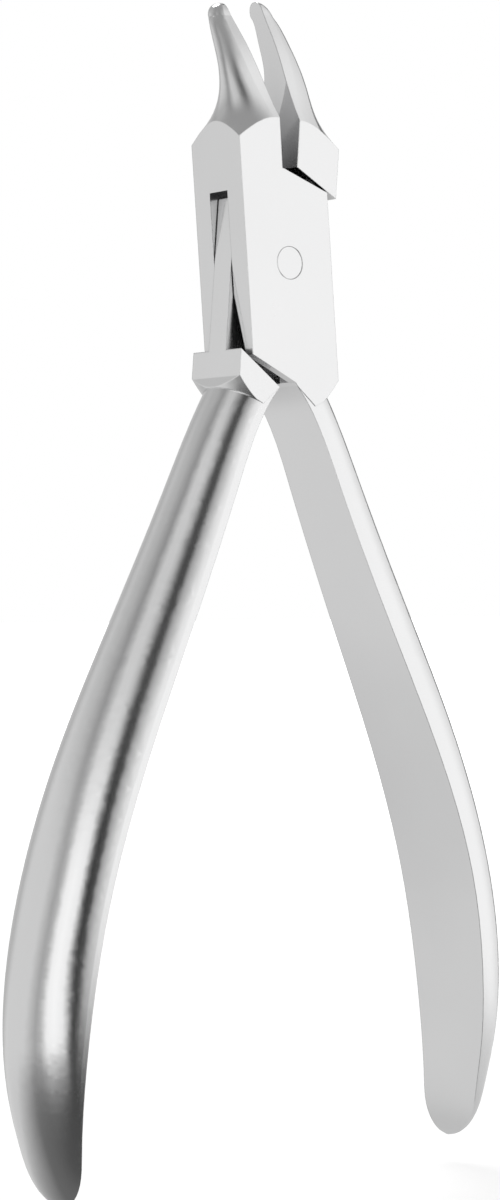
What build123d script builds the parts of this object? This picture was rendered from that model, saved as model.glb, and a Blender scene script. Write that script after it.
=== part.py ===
"""Box-jointed orthodontic pliers: two crossing halves on one flush pin.

The frame is upright. +Z runs from the pin to the beaks, the pin lies along Y, and the
flat front of the joint is the plane y = 0. Both halves are drawn closed, with their
beaks meeting on x = 0, and are then swung apart about the pin by half_opening. The box
half carries the slotted cheeks, a beak on the left and a handle on the right. The
tongue half carries the tongue, a beak on the right and a handle on the left.
"""
import os
from math import cos, radians, sin, tan

from build123d import *

os.makedirs("parts", exist_ok=True)

# The joint, and how far each half is swung from closed
joint_width = 12.0
joint_thickness = 8.2
half_opening = 4.7
cut_overrun = 4.0

# The pin and the tongue's sliding fit in its slot
pin_diameter = 3.6
pin_edge_break = 0.08
pin_running_clearance = 0.04
tongue_thickness = 2.85
tongue_side_clearance = 0.1

# The slanted shoulders, where a solid block of one half faces the cheeks of the other
upper_shoulder_height = 7.6
upper_shoulder_rise = 2.57
lower_shoulder_depth = 9.7
lower_shoulder_drop = 3.2
shoulder_gap = 0.42
crotch_shoulder_gap = 0.68
shoulder_fillet = 0.7
tongue_end_gap = 1.5
crotch_gap = 0.28

# The tapered relief inside the cheeks' slanted ends
cheek_relief_length = 6.5
cheek_relief_depth = 1.45

# The foot of the joint: flanks that lean with the handle, and corners turned to a cone
foot_depth = 13.04
foot_flank_length = 1.2
foot_turned_margin = 0.14
foot_turned_angle = 37.0
handle_lean = 20.0

# The handle
crotch_depth = 13.3
handle_length = 100.8
handle_spread = 21.15
handle_width = 12.1
handle_depth = 6.3
handle_nose_length = 18.0

# The beaks
beak_corner_height = 13.3
beak_shoulder_height = 15.6
tongue_beak_length = 30.1
box_beak_length = 29.3
beak_offset = 4.3
beak_tip_width = 2.25
beak_tip_depth = 2.0
beak_tip_rounding = 1.6

# The ground relief low on the beaks' inner faces
relief_height = 20.2
relief_inset = 2.55
relief_turn = 2.35
relief_lean = 0.55

half_width = joint_width / 2
half_thickness = joint_thickness / 2
slot_thickness = tongue_thickness + 2 * tongue_side_clearance
block_height = upper_shoulder_height + shoulder_gap
block_depth = lower_shoulder_depth + shoulder_gap
crotch_shoulder_depth = lower_shoulder_depth + lower_shoulder_drop
tongue_crotch_depth = crotch_shoulder_depth + crotch_shoulder_gap
middle = Plane.XZ.offset(-half_thickness)
nose_top = handle_nose_length - handle_length
relief_direction = (-1, -tan(radians(relief_turn)), -tan(radians(relief_lean)))

# Handle sections from the crotch to the nose: way down, reach of the flat inner face,
# width between the joint's (0) and the handle's (1), depth, flat side of the D
handle_shares = (
    (0.000, 0.000, -0.020, 0.929, 0.20),
    (0.068, 0.133, -0.020, 0.826, 0.20),
    (0.168, 0.250, 0.087, 0.868, 0.18),
    (0.384, 0.502, 0.436, 0.976, 0.15),
    (0.600, 0.765, 0.820, 0.994, 0.14),
    (0.816, 0.952, 1.000, 0.921, 0.13),
    (1.000, 1.000, 0.780, 0.881, 0.12),
)
# Nose sections below that: way down, reach of the inner face, then width and depth as
# shares of the last handle section's, flat side of the D
nose_shares = (
    (0.350, 0.990, 0.907, 0.868, 0.11),
    (0.650, 0.960, 0.790, 0.660, 0.09),
    (0.840, 0.937, 0.678, 0.450, 0.07),
    (0.940, 0.925, 0.463, 0.270, 0.05),
    (0.985, 0.919, 0.231, 0.130, 0.03),
)
nose_end_share = (1.000, 0.917, 0.040, 0.030, 0.03)

# Beak sections, first where the flare runs down past the corners of the joint: way up
# from the shoulder, backward offset, width and depth between the tip's (0) and the
# joint's (1), flat side of the D
flare_share = (1.00, 0.00, 1.600, 1.600, 0.12)
beak_shares = (
    (0.000, 0.00, 1.000, 1.000, 0.15),
    (0.147, 0.01, 0.631, 0.720, 0.22),
    (0.341, 0.07, 0.285, 0.560, 0.32),
    (0.574, 0.30, 0.115, 0.410, 0.40),
    (0.806, 0.65, 0.035, 0.240, 0.44),
    (1.000, 1.00, 0.000, 0.000, 0.45),
)
# Tip sections: way up and backward as shares of the rounding, width and depth as shares
# of the tip, flat side of the D
tip_shares = (
    (0.00, 0.00, 1.00, 1.00, 0.45),
    (0.50, 0.22, 0.90, 0.84, 0.42),
    (0.85, 0.34, 0.62, 0.56, 0.36),
    (1.00, 0.38, 0.24, 0.22, 0.30),
)


def between(low, high, share):
    """Return the value that lies the given share of the way from low to high."""
    return low + (high - low) * share


def d_section(height, inner_x, centre_y, width, depth, flat_share):
    """Draw a level D with its flat back on inner_x and its round side towards +X."""
    flat_end = inner_x + depth * flat_share
    near, far = centre_y - width / 2, centre_y + width / 2
    with BuildSketch(Plane.XY.offset(height)) as section:
        with BuildLine():
            Line((inner_x, near), (flat_end, near))
            EllipticalCenterArc((flat_end, centre_y), inner_x + depth - flat_end, width / 2,
                                start_angle=-90, arc_size=180)
            Line((flat_end, far), (inner_x, far))
            Line((inner_x, far), (inner_x, near))
        make_face()
    return section.sketch.face()


def handle_section(row):
    """Draw one section of the handle, between the crotch and the start of the nose."""
    down, reach, width, depth, flat_share = row
    return d_section(between(-crotch_depth, nose_top, down), handle_spread * reach,
                     half_thickness, between(joint_thickness, handle_width, width),
                     handle_depth * depth, flat_share)


def nose_section(row):
    """Draw one section of the nose, which carries on from the last handle section."""
    down, reach, width, depth, flat_share = row
    last_width, last_depth = handle_shares[-1][2:4]
    return d_section(nose_top - handle_nose_length * down, handle_spread * reach,
                     half_thickness,
                     between(joint_thickness, handle_width, last_width) * width,
                     handle_depth * last_depth * depth, flat_share)


def beak_section(foot, run, row):
    """Draw one beak section from its row of shares, a run above the given foot."""
    up, offset, width, depth, flat_share = row
    return d_section(foot + run * up, 0, half_thickness + beak_offset * offset,
                     between(beak_tip_width, joint_thickness, width),
                     between(beak_tip_depth, half_width, depth), flat_share)


def jaw(length):
    """Build the full block above the pin on the +X side, with its beak and relief."""
    flare_rise = beak_shoulder_height - beak_corner_height
    tip_foot = length - beak_tip_rounding
    with BuildPart() as blank:
        loft([beak_section(beak_shoulder_height, -flare_rise, flare_share)]
             + [beak_section(beak_shoulder_height, tip_foot - beak_shoulder_height, row)
                for row in beak_shares])
        loft([d_section(tip_foot + beak_tip_rounding * up, 0,
                        half_thickness + beak_offset + beak_tip_rounding * back,
                        beak_tip_width * width, beak_tip_depth * depth, flat_share)
              for up, back, width, depth, flat_share in tip_shares])
        # Trim the flare to the four sides of the joint
        with BuildSketch(Plane.XY.offset(beak_corner_height)):
            with Locations((half_width, half_thickness)):
                Rectangle(joint_width * 2, joint_thickness * 2)
            Rectangle(half_width, joint_thickness, align=Align.MIN, mode=Mode.SUBTRACT)
        extrude(amount=flare_rise + cut_overrun, mode=Mode.SUBTRACT)
        with BuildSketch():
            Rectangle(half_width, joint_thickness, align=Align.MIN)
        extrude(amount=beak_corner_height)
        # The relief is a plane a little off the parting face, deepest at the front
        with BuildSketch(Plane((0, relief_inset, relief_height), z_dir=relief_direction)):
            Rectangle(length * 2, length * 2)
        extrude(amount=cut_overrun, mode=Mode.SUBTRACT)
    return blank.part


# The handle, on the +X side
with BuildPart() as handle:
    last_section = nose_section(nose_shares[-1])
    loft([handle_section(row) for row in handle_shares]
         + [nose_section(row) for row in nose_shares])
    loft([last_section, nose_section(nose_end_share)])

# The foot on the +X side, where the cone's small end meets the flank's lower edge
lean = radians(handle_lean)
down_handle = Vector(sin(lean), 0, -cos(lean))
out_of_handle = Vector(cos(lean), 0, sin(lean))
foot_turned_radius = half_thickness + foot_turned_margin
cone_run = foot_depth / tan(radians(foot_turned_angle))
flank_end = Vector(half_width, half_thickness, -foot_depth) + down_handle * foot_flank_length
foot_centre = flank_end - out_of_handle * foot_turned_radius
with BuildPart() as foot:
    with BuildSketch(middle):
        with BuildLine():
            Polyline((0, -crotch_depth), (foot_centre.X, foot_centre.Z),
                     (flank_end.X, flank_end.Z), (half_width, -foot_depth),
                     (half_width, -lower_shoulder_depth), (0, -lower_shoulder_depth),
                     close=True)
        make_face()
    extrude(amount=half_thickness, both=True)
    with BuildSketch(Plane(foot_centre, x_dir=out_of_handle, z_dir=(0, -1, 0))):
        with BuildLine():
            Polyline((0, 0), (foot_turned_radius, 0),
                     (foot_turned_radius + cone_run, foot_depth), (0, foot_depth), close=True)
        make_face()
    revolve(axis=Axis(foot_centre, down_handle), mode=Mode.INTERSECT)

# The box half, closed: its body between the shoulders, then the slot for the tongue
with BuildPart() as closed_box_half:
    mirror(jaw(box_beak_length), about=Plane.YZ)
    add([handle.part, foot.part])
    with BuildSketch(middle):
        with BuildLine():
            Polyline((0, upper_shoulder_height + upper_shoulder_rise),
                     (half_width, upper_shoulder_height), (half_width, -lower_shoulder_depth),
                     (0, -crotch_depth), (-crotch_gap, -crotch_shoulder_depth),
                     (-half_width, -lower_shoulder_depth),
                     (-half_width, upper_shoulder_height + upper_shoulder_rise), close=True)
        make_face()
    extrude(amount=half_thickness, both=True)
    with BuildSketch(middle):
        with BuildLine():
            outside = half_width + cut_overrun
            Polyline((-outside, block_height), (-half_width, block_height),
                     (0, block_height + upper_shoulder_rise),
                     (outside, block_height + upper_shoulder_rise), (outside, -block_depth),
                     (half_width, -block_depth), (0, -crotch_shoulder_depth),
                     (-outside, -crotch_shoulder_depth), close=True)
        make_face()
    extrude(amount=slot_thickness / 2, both=True, mode=Mode.SUBTRACT)
    # The cheeks thin out towards their slanted ends, below on the left, above on the right
    for side, shoulder, length, along in (
            (-half_width, -lower_shoulder_depth, cheek_relief_length,
             Vector(half_width - crotch_gap, 0, -lower_shoulder_drop)),
            (half_width, upper_shoulder_height, -cheek_relief_length,
             Vector(-half_width, 0, upper_shoulder_rise))):
        with BuildSketch(Plane.YZ.offset(side)):
            with BuildLine():
                wall = slot_thickness / 2
                Polyline((half_thickness - wall, shoulder + length),
                         (half_thickness + wall, shoulder + length),
                         (half_thickness + wall + cheek_relief_depth, shoulder),
                         (half_thickness - wall - cheek_relief_depth, shoulder), close=True)
            make_face()
        extrude(amount=along.length, dir=along, both=True, mode=Mode.SUBTRACT)
    with Locations(middle):
        Hole(pin_diameter / 2)

# The tongue half, closed: a block above on the right and one below on the left, cut to
# their shoulders, and the tongue between them
with BuildPart() as closed_tongue_half:
    add(jaw(tongue_beak_length))
    mirror([handle.part, foot.part], about=Plane.YZ)
    with BuildSketch(middle):
        with BuildLine():
            Polyline((0, 0), (0, block_height + upper_shoulder_rise),
                     (half_width, block_height), (outside, block_height), (outside, 0),
                     close=True)
        make_face()
        with BuildLine():
            Polyline((0, 0), (-outside, 0), (-outside, -block_depth),
                     (-half_width, -block_depth), (-crotch_gap, -tongue_crotch_depth),
                     (0, -tongue_crotch_depth), close=True)
        make_face()
    extrude(amount=joint_thickness, both=True, mode=Mode.SUBTRACT)
    with BuildSketch(middle):
        with BuildLine():
            Polyline((-half_width, block_height - tongue_end_gap),
                     (0, block_height - tongue_end_gap + upper_shoulder_rise),
                     (0, beak_corner_height), (half_width, beak_corner_height),
                     (half_width, tongue_end_gap - block_depth),
                     (-crotch_gap, tongue_end_gap - crotch_shoulder_depth),
                     (-crotch_gap, -tongue_crotch_depth), (-half_width, -foot_depth),
                     close=True)
        make_face()
    extrude(amount=tongue_thickness / 2, both=True)
    # Round the tongue's roots under the upper block, the topmost of the slanted edges
    slanted = closed_tongue_half.edges().filter_by(
        Axis((0, 0, 0), (half_width, 0, -upper_shoulder_rise)))
    fillet([level.sort_by(Axis.Z)[-1] for level in slanted.group_by(Axis.Y)[1:-1]],
           shoulder_fillet)
    with Locations(middle):
        Hole(pin_diameter / 2 + pin_running_clearance)

# Swing both halves open about the pin
with BuildPart() as box_half:
    add(closed_box_half.part, rotation=(0, -half_opening, 0))

with BuildPart() as tongue_half:
    add(closed_tongue_half.part, rotation=(0, half_opening, 0))

with BuildPart() as joint_pin:
    with BuildSketch(middle):
        Circle(pin_diameter / 2)
    extrude(amount=half_thickness, both=True)
    chamfer(joint_pin.edges().filter_by(GeomType.CIRCLE), pin_edge_break)

box_half.part.label = "box_half"
export_step(box_half.part, "parts/box_half.step")

tongue_half.part.label = "tongue_half"
export_step(tongue_half.part, "parts/tongue_half.step")

joint_pin.part.label = "joint_pin"
export_step(joint_pin.part, "parts/joint_pin.step")
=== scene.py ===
"""Orthodontic pliers in polished stainless steel, lit and seen as in a plain studio."""

import logging
import math
from collections.abc import Mapping, Sequence
from dataclasses import dataclass
from enum import Enum
from typing import Any

import bpy
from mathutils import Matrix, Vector


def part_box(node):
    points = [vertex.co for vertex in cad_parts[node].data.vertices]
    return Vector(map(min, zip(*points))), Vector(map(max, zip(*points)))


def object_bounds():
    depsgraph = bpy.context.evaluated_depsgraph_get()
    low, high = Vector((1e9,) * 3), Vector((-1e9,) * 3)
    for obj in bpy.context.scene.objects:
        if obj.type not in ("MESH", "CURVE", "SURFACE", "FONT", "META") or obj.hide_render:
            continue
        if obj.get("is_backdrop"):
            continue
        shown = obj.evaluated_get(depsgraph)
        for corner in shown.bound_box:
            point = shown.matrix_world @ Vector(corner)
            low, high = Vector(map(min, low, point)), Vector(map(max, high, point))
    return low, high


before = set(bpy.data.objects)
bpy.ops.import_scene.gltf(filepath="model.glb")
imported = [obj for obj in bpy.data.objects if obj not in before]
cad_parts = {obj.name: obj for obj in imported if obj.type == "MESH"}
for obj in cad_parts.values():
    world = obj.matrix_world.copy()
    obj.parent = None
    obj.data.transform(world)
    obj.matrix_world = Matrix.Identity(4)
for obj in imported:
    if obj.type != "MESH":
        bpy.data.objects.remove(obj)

logging.basicConfig(level=logging.INFO, format="%(message)s")
log = logging.getLogger("pliers")

# A colour as red, green and blue, and one row of panels as bearings in degrees with brightness.
Colour = tuple[float, float, float]
Panels = tuple[tuple[float, float], ...]

MILLIMETRE = 0.001
WHITE: Colour = (1.0, 1.0, 1.0)


class Lay(Enum):
    """The way in which the grinding lines of a steel face run.

    Each option scales the surface's X, Y and Z. The small factor draws the lines out along
    its axis.
    """

    ALONG = (1.0, 1.0, 0.035)
    ACROSS = (0.035, 1.0, 1.0)


@dataclass(frozen=True)
class Value:
    """A shader socket that takes part in plain arithmetic.

    Each operation adds one Math node to the recipe that the socket belongs to.
    """

    recipe: "Recipe"
    socket: bpy.types.NodeSocket

    def joined(self, operation: str, first: "Value | float", second: "Value | float") -> "Value":
        """Add one Math node.

        Args:
            operation: The Math node's operation.
            first: The first number or socket.
            second: The second number or socket.

        Returns:
            The Math node's result.
        """
        node = self.recipe.node("ShaderNodeMath", {"operation": operation}, {0: first, 1: second})
        return self.recipe.value(node)

    def __add__(self, other: "Value | float") -> "Value":
        """Return self + other."""
        return self.joined("ADD", self, other)

    def __radd__(self, other: float) -> "Value":
        """Return other + self."""
        return self.joined("ADD", other, self)

    def __sub__(self, other: "Value | float") -> "Value":
        """Return self - other."""
        return self.joined("SUBTRACT", self, other)

    def __rsub__(self, other: float) -> "Value":
        """Return other - self."""
        return self.joined("SUBTRACT", other, self)

    def __mul__(self, other: "Value | float") -> "Value":
        """Return self * other."""
        return self.joined("MULTIPLY", self, other)

    def __rmul__(self, other: float) -> "Value":
        """Return other * self."""
        return self.joined("MULTIPLY", other, self)

    def __pow__(self, other: "Value | float") -> "Value":
        """Return self ** other."""
        return self.joined("POWER", self, other)

    def __rpow__(self, other: float) -> "Value":
        """Return other ** self."""
        return self.joined("POWER", other, self)

    def fraction(self) -> "Value":
        """Return what is left of self above its whole number."""
        return self.joined("FRACT", self, 0.0)

    def angle_from(self, other: "Value") -> "Value":
        """Return the angle from other round to self, in radians."""
        return self.joined("ARCTAN2", self, other)

    def at_most(self, other: "Value | float") -> "Value":
        """Return the smaller of self and other."""
        return self.joined("MINIMUM", self, other)

    def at_least(self, other: "Value | float") -> "Value":
        """Return the larger of self and other."""
        return self.joined("MAXIMUM", self, other)


class Recipe:
    """The node tree of one material or of the world, filled node by node."""

    def __init__(self, tree: bpy.types.NodeTree) -> None:
        """Start from an empty tree.

        Args:
            tree: The tree to clear and fill.
        """
        self.tree = tree
        tree.nodes.clear()

    def node(
        self,
        kind: str,
        settings: Mapping[str, Any] | None = None,
        inputs: Mapping[int | str, Any] | None = None,
    ) -> bpy.types.Node:
        """Add one node, set it and feed it.

        Args:
            kind: The node's type.
            settings: The node's own settings, or the stops of its ramp.
            inputs: What each of its sockets gets, a number or a link.

        Returns:
            The new node.
        """
        made = self.tree.nodes.new(kind)
        for name, setting in (settings or {}).items():
            if name == "stops":
                self.set_stops(made.color_ramp, setting)
            else:
                setattr(made, name, setting)
        for key, given in (inputs or {}).items():
            if isinstance(given, Value):
                self.tree.links.new(given.socket, made.inputs[key])
            else:
                made.inputs[key].default_value = given
        return made

    @staticmethod
    def set_stops(ramp: bpy.types.ColorRamp, stops: Sequence[tuple[float, float]]) -> None:
        """Give a ramp its grey stops.

        All stops are placed before the first is coloured, because placing can reorder them.

        Args:
            ramp: The ramp to fill.
            stops: The place and the brightness of each stop.
        """
        while len(ramp.elements) < len(stops):
            ramp.elements.new(1.0)
        for element, (place, _) in zip(ramp.elements, stops):
            element.position = place
        for element, (_, brightness) in zip(ramp.elements, stops):
            element.color = (brightness, brightness, brightness, 1.0)

    def value(self, node: bpy.types.Node, output: int | str = 0) -> Value:
        """Return one output of a node for use in arithmetic."""
        return Value(self, node.outputs[output])

    def coordinate(self, name: str) -> Value:
        """Return one of the coordinates of the point or direction that is shaded."""
        return self.value(self.node("ShaderNodeTexCoord"), name)

    def apart(self, vector: Value) -> tuple[Value, Value, Value]:
        """Return the X, the Y and the Z of a vector."""
        node = self.node("ShaderNodeSeparateXYZ", None, {0: vector})
        return self.value(node, "X"), self.value(node, "Y"), self.value(node, "Z")

    def mixed(self, factor: Value | float, first: Value | Colour, second: Value | Colour) -> Value:
        """Blend two colours.

        Args:
            factor: The share of the second colour.
            first: The first colour or its socket.
            second: The second colour or its socket.

        Returns:
            The blended colour.
        """
        first, second = (
            given if isinstance(given, Value) else opaque(given) for given in (first, second)
        )
        node = self.node("ShaderNodeMix", {"data_type": "RGBA"}, {0: factor, 6: first, 7: second})
        return self.value(node, 2)

    def eased(self, value: Value, start: float, end: float) -> Value:
        """Let a number rise smoothly from zero to one.

        Args:
            value: The number.
            start: Where the result leaves zero.
            end: Where the result reaches one.

        Returns:
            The result, from zero to one.
        """
        node = self.node(
            "ShaderNodeMapRange",
            {"interpolation_type": "SMOOTHSTEP"},
            {"Value": value, "From Min": start, "From Max": end},
        )
        return self.value(node)

    def grey(self, value: Value) -> Value:
        """Turn a number into a grey colour."""
        return self.value(self.node("ShaderNodeCombineColor", None, {0: value, 1: value, 2: value}))


@dataclass(frozen=True)
class Cloud:
    """A cloud pattern over a surface, about 0.5 on average.

    The size is that of its patches in metres, and the detail the number of its finer layers.
    The roughening says how far the pattern changes the roughness.
    """

    size: float
    detail: float
    roughening: float = 0.0
    middle: float = 0.5
    layer_share: float = 0.55

    def drawn(self, recipe: Recipe, place: Value) -> Value:
        """Add the pattern to a material.

        Args:
            recipe: The material's recipe.
            place: The point of the surface.

        Returns:
            The pattern.
        """
        node = recipe.node(
            "ShaderNodeTexNoise",
            {"noise_dimensions": "3D"},
            {
                "Vector": place,
                "Scale": 1 / self.size,
                "Detail": self.detail,
                "Roughness": self.layer_share,
            },
        )
        return recipe.value(node, "Fac")

    def roughened(self, pattern: Value) -> Value:
        """Return what the pattern adds to the roughness."""
        return (pattern - self.middle) * self.roughening


@dataclass(frozen=True)
class SteelFinish:
    """Stainless steel, ground in one direction and then polished."""

    name: str
    lay: Lay
    patches: Cloud = Cloud(14 * MILLIMETRE, 2.0, roughening=0.07)
    lines: Cloud = Cloud(0.16 * MILLIMETRE, 3.0, roughening=0.12)
    waves: Cloud = Cloud(7.5 * MILLIMETRE, 0.0)
    pits: Cloud = Cloud(0.55 * MILLIMETRE, 4.0, roughening=0.05)
    line_depth: float = 0.0011 * MILLIMETRE
    wave_depth: float = 0.0025 * MILLIMETRE
    colour: Colour = (0.835, 0.835, 0.837)
    shade: Colour = (0.765, 0.765, 0.767)
    patch_share: float = 0.7
    line_share: float = 0.3
    satin_roughness: float = 0.24
    polished_roughness: float = 0.13
    least_roughness: float = 0.05
    flat_falloff: float = 12.0
    edge_colour: Colour = (0.9, 0.9, 0.9)
    edge_radius: float = 0.16 * MILLIMETRE
    edge_gain: float = 6.0
    edge_brightening: float = 0.5
    edge_smoothing: float = 0.35
    # Painted shade in corners and gaps: its colour, the reach of the occlusion and its falloff.
    painted_shade_colour: Colour = (0.4, 0.4, 0.405)
    painted_shade_reach: float = 6 * MILLIMETRE
    painted_shade_falloff: float = 2.2
    samples: int = 6

    def stretched(self, recipe: Recipe, place: Value) -> Value:
        """Stretch the surface's points along the grinding lines."""
        factors = {0: place, 1: self.lay.value}
        return recipe.value(recipe.node("ShaderNodeVectorMath", {"operation": "MULTIPLY"}, factors))

    def flatness(self, recipe: Recipe) -> Value:
        """Tell the ground front and back faces from the polished round ones.

        Args:
            recipe: The material's recipe.

        Returns:
            One on the front and back faces, zero elsewhere.
        """
        _, facing, _ = recipe.apart(recipe.coordinate("Normal"))
        return (facing * facing) ** self.flat_falloff

    def edges(self, recipe: Recipe) -> tuple[Value, Value]:
        """Round the sharp edges in the shading.

        Args:
            recipe: The material's recipe.

        Returns:
            The rounded normal, and a mask that is one on the edges.
        """
        rounded = recipe.value(
            recipe.node("ShaderNodeBevel", {"samples": self.samples}, {"Radius": self.edge_radius})
        )
        sharp = recipe.value(recipe.node("ShaderNodeNewGeometry"), "Normal")
        meeting = recipe.node(
            "ShaderNodeVectorMath", {"operation": "DOT_PRODUCT"}, {0: rounded, 1: sharp}
        )
        turned = 1.0 - recipe.value(meeting, "Value")
        return rounded, (turned * self.edge_gain).at_most(1.0)

    def painted_recess_shade(self, recipe: Recipe) -> Value:
        """Find the corners and gaps, where painted shade darkens the base colour by ambient
        occlusion.

        Args:
            recipe: The material's recipe.

        Returns:
            Zero on open faces, up to one deep in a gap.
        """
        node = recipe.node(
            "ShaderNodeAmbientOcclusion", {"samples": self.samples}, {"Distance": self.painted_shade_reach}
        )
        return (1.0 - recipe.value(node, "AO")) ** self.painted_shade_falloff

    def tone(self, recipe: Recipe, patches: Value, lines: Value, edge: Value) -> Value:
        """Colour the steel.

        Args:
            recipe: The material's recipe.
            patches: The pattern of wide patches.
            lines: The pattern of grinding lines.
            edge: The mask of the edges.

        Returns:
            The colour, brighter on worn edges and darkened by painted shade in recesses.
        """
        share = patches * self.patch_share + lines * self.line_share
        ground = recipe.mixed(share, self.shade, self.colour)
        worn = recipe.mixed(edge * self.edge_brightening, ground, self.edge_colour)
        # Painted shade: the base colour darkens towards the shade colour where ambient occlusion
        # finds a corner or gap.
        return recipe.mixed(self.painted_recess_shade(recipe), worn, self.painted_shade_colour)

    def bumped(self, recipe: Recipe, height: Value, depth: float, normal: Value) -> Value:
        """Add relief to a normal.

        Args:
            recipe: The material's recipe.
            height: The pattern of the relief.
            depth: The depth of the relief in metres.
            normal: The normal without it.

        Returns:
            The normal with it.
        """
        relief = {"Strength": 1.0, "Distance": depth, "Height": height, "Normal": normal}
        return recipe.value(recipe.node("ShaderNodeBump", None, relief))

    def material(self) -> bpy.types.Material:
        """Make the steel's material.

        Returns:
            The material, ready to be put on a node.
        """
        material = bpy.data.materials.new(self.name)
        material.use_nodes = True
        recipe = Recipe(material.node_tree)
        place = recipe.coordinate("Object")
        patches = self.patches.drawn(recipe, place)
        lines = self.lines.drawn(recipe, self.stretched(recipe, place))
        waves = self.waves.drawn(recipe, place)
        pits = self.pits.drawn(recipe, place)
        rounded, edge = self.edges(recipe)

        satin = self.flatness(recipe) * (self.satin_roughness - self.polished_roughness)
        roughness = self.polished_roughness + satin + self.lines.roughened(lines)
        roughness = roughness + self.pits.roughened(pits) + self.patches.roughened(patches)
        roughness = roughness * (1.0 - edge * self.edge_smoothing)
        wavy = self.bumped(recipe, waves, self.wave_depth, rounded)
        steel = recipe.node(
            "ShaderNodeBsdfPrincipled",
            None,
            {
                "Base Color": self.tone(recipe, patches, lines, edge),
                "Metallic": 1.0,
                "Roughness": roughness.at_least(self.least_roughness),
                "Normal": self.bumped(recipe, lines, self.line_depth, wavy),
            },
        )
        recipe.node("ShaderNodeOutputMaterial", None, {"Surface": recipe.value(steel)})
        return material


@dataclass(frozen=True)
class Forging:
    """One half of the pliers or its pin, a solid that is dressed in one steel."""

    node: str
    finish: SteelFinish

    def dress(self) -> None:
        """Put the steel on every material slot of the solid."""
        steel = self.finish.material()
        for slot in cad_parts[self.node].material_slots:
            slot.material = steel
        low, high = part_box(self.node)
        height = (high[2] - low[2]) / MILLIMETRE
        log.info("%s: %s, %.1f mm tall", self.node, self.finish.name, height)


@dataclass(frozen=True)
class Pliers:
    """The two halves on their pin."""

    box_half: Forging = Forging("box_half", SteelFinish("box_half_steel_finish", Lay.ALONG))
    tongue_half: Forging = Forging(
        "tongue_half", SteelFinish("tongue_half_steel_finish", Lay.ALONG)
    )
    joint_pin: Forging = Forging(
        "joint_pin", SteelFinish("pin_steel_finish", Lay.ACROSS, edge_radius=0.05 * MILLIMETRE)
    )

    def dress(self) -> None:
        """Dress every piece."""
        for piece in (self.box_half, self.tongue_half, self.joint_pin):
            piece.dress()


@dataclass(frozen=True)
class Surroundings:
    """What stands round the pliers as the steel sees it.

    Pale walls hold one white panel, a dark gap and a narrow dark strip. Each row gives the
    brightness by the bearing, in degrees from the back of the pliers, clockwise from above.
    """

    high: Panels = (
        (0.0, 0.42),
        (53.0, 0.6),
        (57.0, 0.14),
        (64.0, 0.14),
        (68.0, 0.66),
        (120.0, 1.0),
        (154.0, 1.0),
        (176.0, 0.45),
        (187.0, 0.08),
        (198.0, 0.12),
        (228.0, 0.66),
        (248.0, 0.7),
        (276.0, 0.33),
        (310.0, 0.5),
        (340.0, 0.5),
        (360.0, 0.42),
    )
    level: Panels = (
        (0.0, 0.52),
        (53.0, 0.7),
        (57.0, 0.12),
        (64.0, 0.12),
        (68.0, 0.8),
        (115.0, 1.1),
        (148.0, 1.12),
        (160.0, 0.75),
        (177.0, 0.42),
        (185.0, 0.08),
        (197.0, 0.05),
        (204.0, 0.2),
        (219.0, 1.05),
        (236.0, 1.15),
        (249.0, 1.08),
        (261.0, 0.55),
        (270.0, 0.44),
        (292.0, 0.74),
        (340.0, 0.74),
        (360.0, 0.52),
    )
    low: Panels = (
        (0.0, 0.6),
        (60.0, 0.7),
        (120.0, 0.6),
        (152.0, 0.5),
        (172.0, 0.1),
        (200.0, 0.06),
        (250.0, 0.1),
        (275.0, 0.16),
        (290.0, 0.42),
        (305.0, 0.68),
        (335.0, 0.74),
        (360.0, 0.6),
    )

    def panels(self, recipe: Recipe, place: Value, row: Panels) -> Value:
        """Read one row of panels in the direction of a point.

        Args:
            recipe: The recipe of the floor or of the world.
            place: The point or the direction.
            row: The row of panels.

        Returns:
            The panels' grey colour there.
        """
        right, back, _ = recipe.apart(place)
        turns = right.angle_from(back) * (1 / math.tau)
        stops = [(bearing / 360, brightness) for bearing, brightness in row]
        ramp = recipe.node("ShaderNodeValToRGB", {"stops": stops}, {"Fac": turns.fraction()})
        return recipe.value(ramp)


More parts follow.
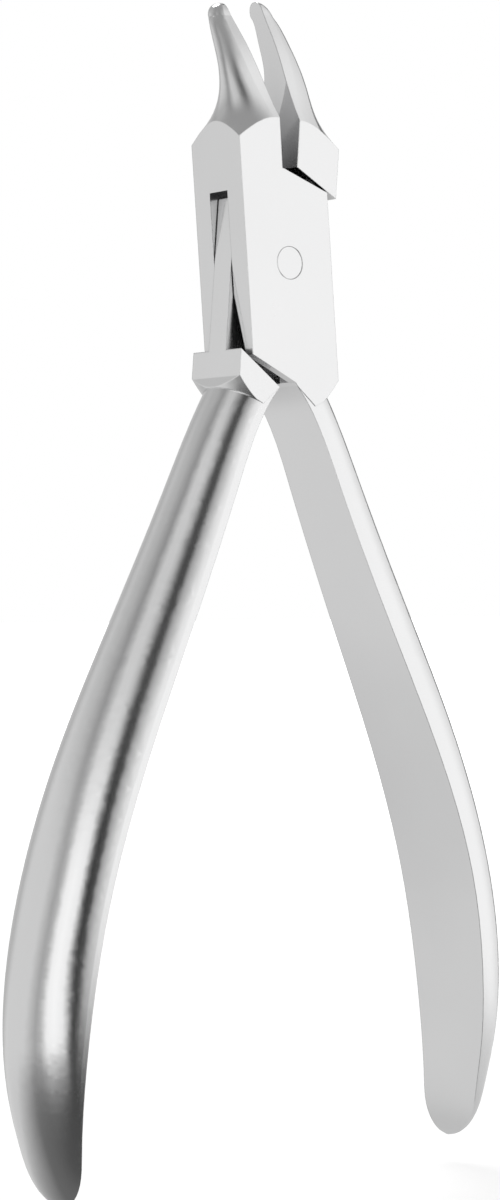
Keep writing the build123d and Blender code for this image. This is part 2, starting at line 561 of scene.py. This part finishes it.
@dataclass(frozen=True)
class Studio:
    """A plain room: a pale floor, pale walls and one soft lamp.

    The floor lies below the pliers at rest by the swing room, because one handle swings lower as
    they close. The camera sees it lifted towards white, and plain white from the fading's end on.
    Mirrored in the steel it shows the low row of panels nearby and the level row further off.

    The walls show the level row up to the level height, the high row at the high height and the
    ceiling from the ceiling height on. Each of these heights is the sine of the elevation.
    """

    surroundings: Surroundings = Surroundings()
    floor_width: float = 6.0
    swing_room: float = 3.3 * MILLIMETRE
    floor_colour: Colour = (0.86, 0.86, 0.86)
    floor_lift: float = 0.44
    near_floor: float = 35 * MILLIMETRE
    far_floor: float = 130 * MILLIMETRE
    fading_start: float = 200 * MILLIMETRE
    fading_end: float = 900 * MILLIMETRE
    level_height: float = 0.24
    high_height: float = 0.72
    ceiling_height: float = 0.97
    ceiling: Colour = (0.36, 0.36, 0.36)
    lamp_power: float = 3.4
    lamp_width: float = 0.62
    lamp_place: tuple[float, float, float] = (0.2, 0.57, 1.04)

    def build(self) -> None:
        """Make the floor, the walls and the lamp."""
        self.build_floor()
        self.build_walls()
        self.build_lamp()

    def build_floor(self) -> None:
        """Lay the pale floor just below the lowest place that a closing handle swings to."""
        low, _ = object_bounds()
        ground = low[2] - self.swing_room
        half = self.floor_width / 2
        corners = [
            (right, back, ground)
            for right, back in ((-half, -half), (half, -half), (half, half), (-half, half))
        ]
        mesh = bpy.data.meshes.new("studio_floor")
        mesh.from_pydata(corners, [], [(0, 1, 2, 3)])
        mesh.materials.append(self.floor_material())
        floor = bpy.data.objects.new("studio_floor", mesh)
        bpy.context.scene.collection.objects.link(floor)
        floor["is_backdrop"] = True

    def floor_material(self) -> bpy.types.Material:
        """Make the floor's paper, which the camera sees as white with a soft shadow.

        Returns:
            The floor's material.
        """
        material = bpy.data.materials.new("floor_paper")
        material.use_nodes = True
        material.cycles.emission_sampling = "NONE"
        recipe = Recipe(material.node_tree)
        place = recipe.coordinate("Object")
        right, back, _ = recipe.apart(place)
        distance = (right * right + back * back) ** 0.5
        fading = recipe.eased(distance, self.fading_start, self.fading_end)
        lift = self.floor_lift + fading * (1.0 - self.floor_lift)
        rays = recipe.node("ShaderNodeLightPath")
        paper = recipe.node(
            "ShaderNodeBsdfPrincipled",
            None,
            {
                "Base Color": opaque(self.floor_colour),
                "Roughness": 1.0,
                "Specular IOR Level": 0.0,
                "Emission Color": recipe.grey(recipe.value(rays, "Is Camera Ray") * lift),
                "Emission Strength": 1.0,
            },
        )
        near_panels = self.surroundings.panels(recipe, place, self.surroundings.low)
        far_panels = self.surroundings.panels(recipe, place, self.surroundings.level)
        far = recipe.eased(distance, self.near_floor, self.far_floor)
        shown = recipe.mixed(far, near_panels, far_panels)
        image = recipe.node("ShaderNodeEmission", None, {"Color": shown, "Strength": 1.0})
        mirrored = recipe.value(rays, "Is Glossy Ray") + recipe.value(rays, "Is Transmission Ray")
        both = recipe.node(
            "ShaderNodeMixShader",
            None,
            {0: mirrored, 1: recipe.value(paper), 2: recipe.value(image)},
        )
        recipe.node("ShaderNodeOutputMaterial", None, {"Surface": recipe.value(both)})
        return material

    def build_walls(self) -> None:
        """Light the steel by the room's walls, and show the camera plain white."""
        world = bpy.data.worlds.new("studio_walls")
        world.use_nodes = True
        bpy.context.scene.world = world
        recipe = Recipe(world.node_tree)
        direction = recipe.coordinate("Generated")
        _, _, height = recipe.apart(direction)
        level = self.surroundings.panels(recipe, direction, self.surroundings.level)
        high = self.surroundings.panels(recipe, direction, self.surroundings.high)
        rise = recipe.eased(height, self.level_height, self.high_height)
        top = recipe.eased(height, self.high_height, self.ceiling_height)
        walls = recipe.mixed(top, recipe.mixed(rise, level, high), self.ceiling)
        camera = recipe.value(recipe.node("ShaderNodeLightPath"), "Is Camera Ray")
        colour = recipe.mixed(camera, walls, WHITE)
        light = recipe.node("ShaderNodeBackground", None, {"Color": colour, "Strength": 1.0})
        recipe.node("ShaderNodeOutputWorld", None, {"Surface": recipe.value(light)})

    def build_lamp(self) -> None:
        """Hang one large soft lamp high behind the pliers."""
        lamp = bpy.data.lights.new("soft_lamp", "AREA")
        lamp.shape = "DISK"
        lamp.size = self.lamp_width
        lamp.energy = self.lamp_power
        towards_pliers = tuple(-part for part in self.lamp_place)
        placed("soft_lamp", lamp, self.lamp_place, towards_pliers)


@dataclass(frozen=True)
class Camera:
    """The camera of the photograph."""

    place: tuple[float, float, float] = (-0.184216, -0.21673, -0.034081)
    direction: tuple[float, float, float] = (0.63599, 0.77165, -0.00852)
    lens: float = 78.75
    sensor: float = 36.0
    nearest: float = 10 * MILLIMETRE

    def build(self) -> None:
        """Set the camera up and make it the scene's own."""
        data = bpy.data.cameras.new("photo_camera")
        data.lens = self.lens
        data.sensor_width = self.sensor
        data.clip_start = self.nearest
        bpy.context.scene.camera = placed("photo_camera", data, self.place, self.direction)


def placed(
    name: str,
    data: bpy.types.Light | bpy.types.Camera,
    place: Sequence[float],
    aim: Sequence[float],
) -> bpy.types.Object:
    """Put a lamp or a camera into the scene.

    Args:
        name: The object's name.
        data: The lamp or the camera.
        place: Where it stands.
        aim: The direction in which it looks.

    Returns:
        The new object.
    """
    holder = bpy.data.objects.new(name, data)
    holder.location = place
    holder.rotation_euler = Vector(aim).to_track_quat("-Z", "Y").to_euler()
    bpy.context.scene.collection.objects.link(holder)
    return holder


def opaque(colour: Colour) -> tuple[float, float, float, float]:
    """Return a colour with full alpha."""
    return (*colour, 1.0)


def main() -> None:
    """Dress the pliers, set up the studio and the camera, and note the sizes."""
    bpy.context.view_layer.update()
    Pliers().dress()
    Studio().build()
    Camera().build()
    bpy.context.scene.view_settings.view_transform = "Standard"


if __name__ == "__main__":
    main()
